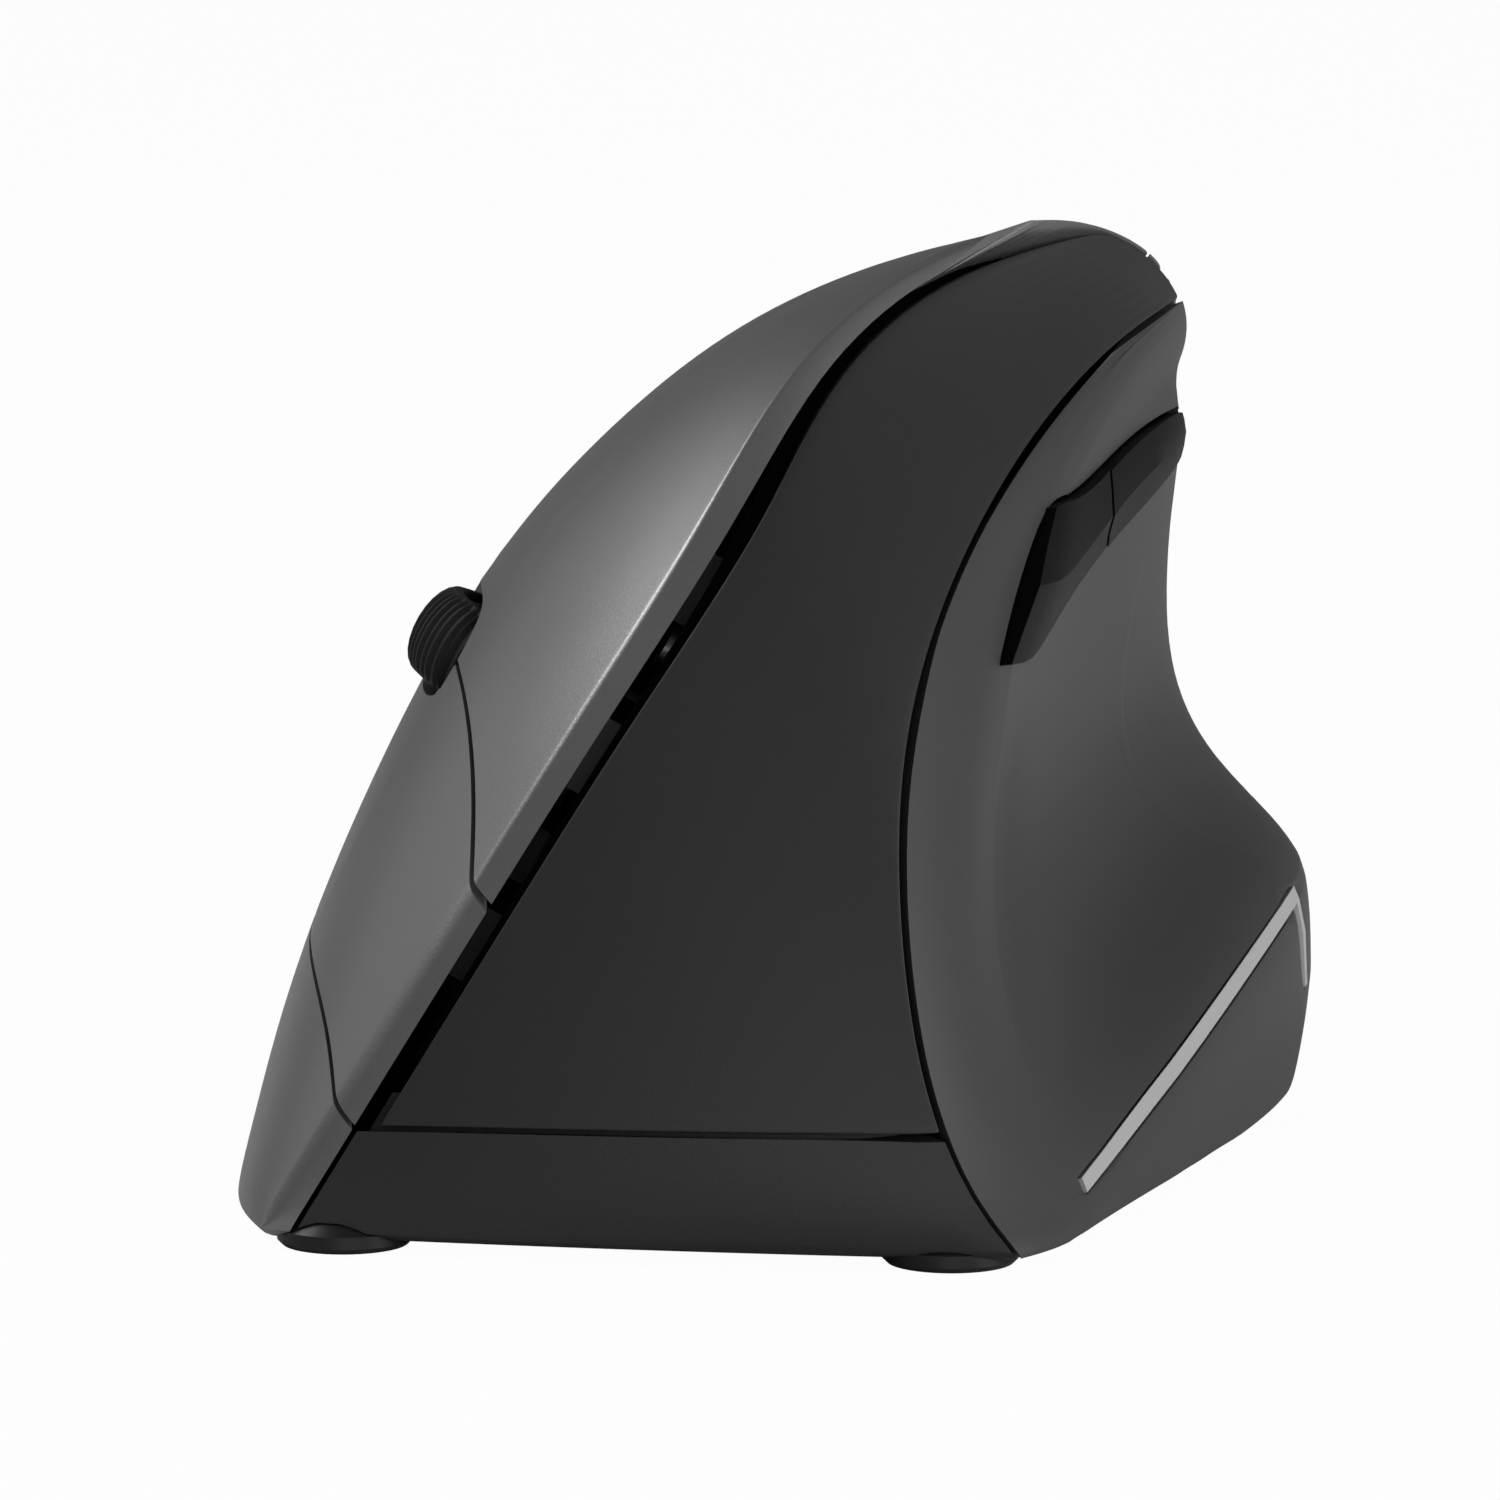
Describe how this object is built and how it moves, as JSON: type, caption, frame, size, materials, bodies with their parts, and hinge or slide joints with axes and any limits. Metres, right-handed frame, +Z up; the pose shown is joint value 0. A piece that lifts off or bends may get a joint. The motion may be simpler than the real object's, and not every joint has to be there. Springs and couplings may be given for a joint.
{
  "type": "vertical ergonomic mouse",
  "caption": "Right-handed vertical computer mouse: a leaning shell with finger keys, a ribbed scroll wheel, a thumb scoop with side buttons and an accent line.",
  "frame": {"origin": "on the desk under the middle of the bounding box", "axes": "+Z up from the desk, -Y the front of the mouse, +X the thumb side"},
  "size_m": [0.0788, 0.1179, 0.0719],
  "materials": {
    "finger_shell": "satin, fine grain",
    "front_shell": "smooth matte",
    "thumb_shell": "soft satin, fine grain",
    "accent": "satin",
    "button_gloss": "gloss",
    "inner_black": "matte",
    "glide": "smooth, low friction",
    "door": "matte",
    "cell": "printed sleeve left plain",
    "spring_steel": "nickel plated",
    "switch_body": "matte",
    "slider": "matte",
    "circuit_board": "solder mask",
    "chip": "matte",
    "lens_clear": "clear",
    "screw": "zinc plated",
    "hub": "satin",
    "tread": "matte, ribbed",
    "axle": "ground"
  },
  "bodies": {
    "case": {"palm_cover": "finger_shell", "front_panel": "front_shell", "thumb_panel": "thumb_shell", "accent_strip": "accent", "ridge_frame": "inner_black", "base_case": "front_shell", "feet": "glide", "battery": "cell", "battery_contacts": "spring_steel", "power_switch": "switch_body", "main_board": "circuit_board", "board_parts": "chip", "sensor": "chip", "lens": "lens_clear", "chassis": "inner_black", "case_screws": "screw", "button_board": "circuit_board", "board_screws": "screw", "key_switches": "switch_body", "encoder": "switch_body", "wheel_switch": "switch_body", "dpi_switch": "switch_body", "thumb_board": "circuit_board", "thumb_switches": "switch_body"},
    "left_key": {"key_left": "finger_shell"},
    "right_key": {"key_right": "finger_shell"},
    "carrier": {"wheel_carrier": "inner_black"},
    "wheel": {"wheel_hub": "hub", "wheel_tyre": "tread", "wheel_axle": "axle"},
    "front_thumb": {"thumb_button_front": "button_gloss"},
    "rear_thumb": {"thumb_button_rear": "button_gloss"},
    "resolution": {"dpi_button": "button_gloss"},
    "power": {"power_slider": "slider"},
    "door": {"battery_door": "door"}
  },
  "joints": [
    {"name": "left_click", "type": "hinge", "parent": "case", "child": "left_key", "pos_m": [0.00083, 0.02137, 0.05022], "axis": [0.652, -0.1863, 0.735], "range_deg": [0, 0.35], "stiffness_Nm_per_rad": 3},
    {"name": "right_click", "type": "hinge", "parent": "case", "child": "right_key", "pos_m": [-0.01985, 0.05003, 0.0171], "axis": [0.2503, -0.3094, 0.9174], "range_deg": [0, 0.35], "stiffness_Nm_per_rad": 3},
    {"name": "wheel_press", "type": "slide", "parent": "case", "child": "carrier", "axis": [0.8461, 0.1552, -0.51], "range_m": [0, 0.0004], "stiffness_N_per_m": 2000},
    {"name": "wheel_spin", "type": "hinge", "parent": "carrier", "child": "wheel", "pos_m": [-0.01723, -0.01577, 0.03572], "axis": [-0.4994, -0.104, -0.8601], "continuous": true},
    {"name": "front_thumb_click", "type": "slide", "parent": "case", "child": "front_thumb", "axis": [-0.9755, 0.1583, 0.1527], "range_m": [0, 0.0004], "stiffness_N_per_m": 1500},
    {"name": "rear_thumb_click", "type": "slide", "parent": "case", "child": "rear_thumb", "axis": [-0.9755, 0.1583, 0.1527], "range_m": [0, 0.0004], "stiffness_N_per_m": 1500},
    {"name": "resolution_click", "type": "slide", "parent": "case", "child": "resolution", "axis": [0.8449, -0.1034, -0.5248], "range_m": [0, 0.0004], "stiffness_N_per_m": 1500},
    {"name": "power_slide", "type": "slide", "parent": "case", "child": "power", "axis": [0, 1, 0], "range_m": [0, 0.0025]},
    {"name": "door_slide", "type": "slide", "parent": "case", "child": "door", "axis": [0, -1, 0], "range_m": [0, 0.006]}
  ]
}
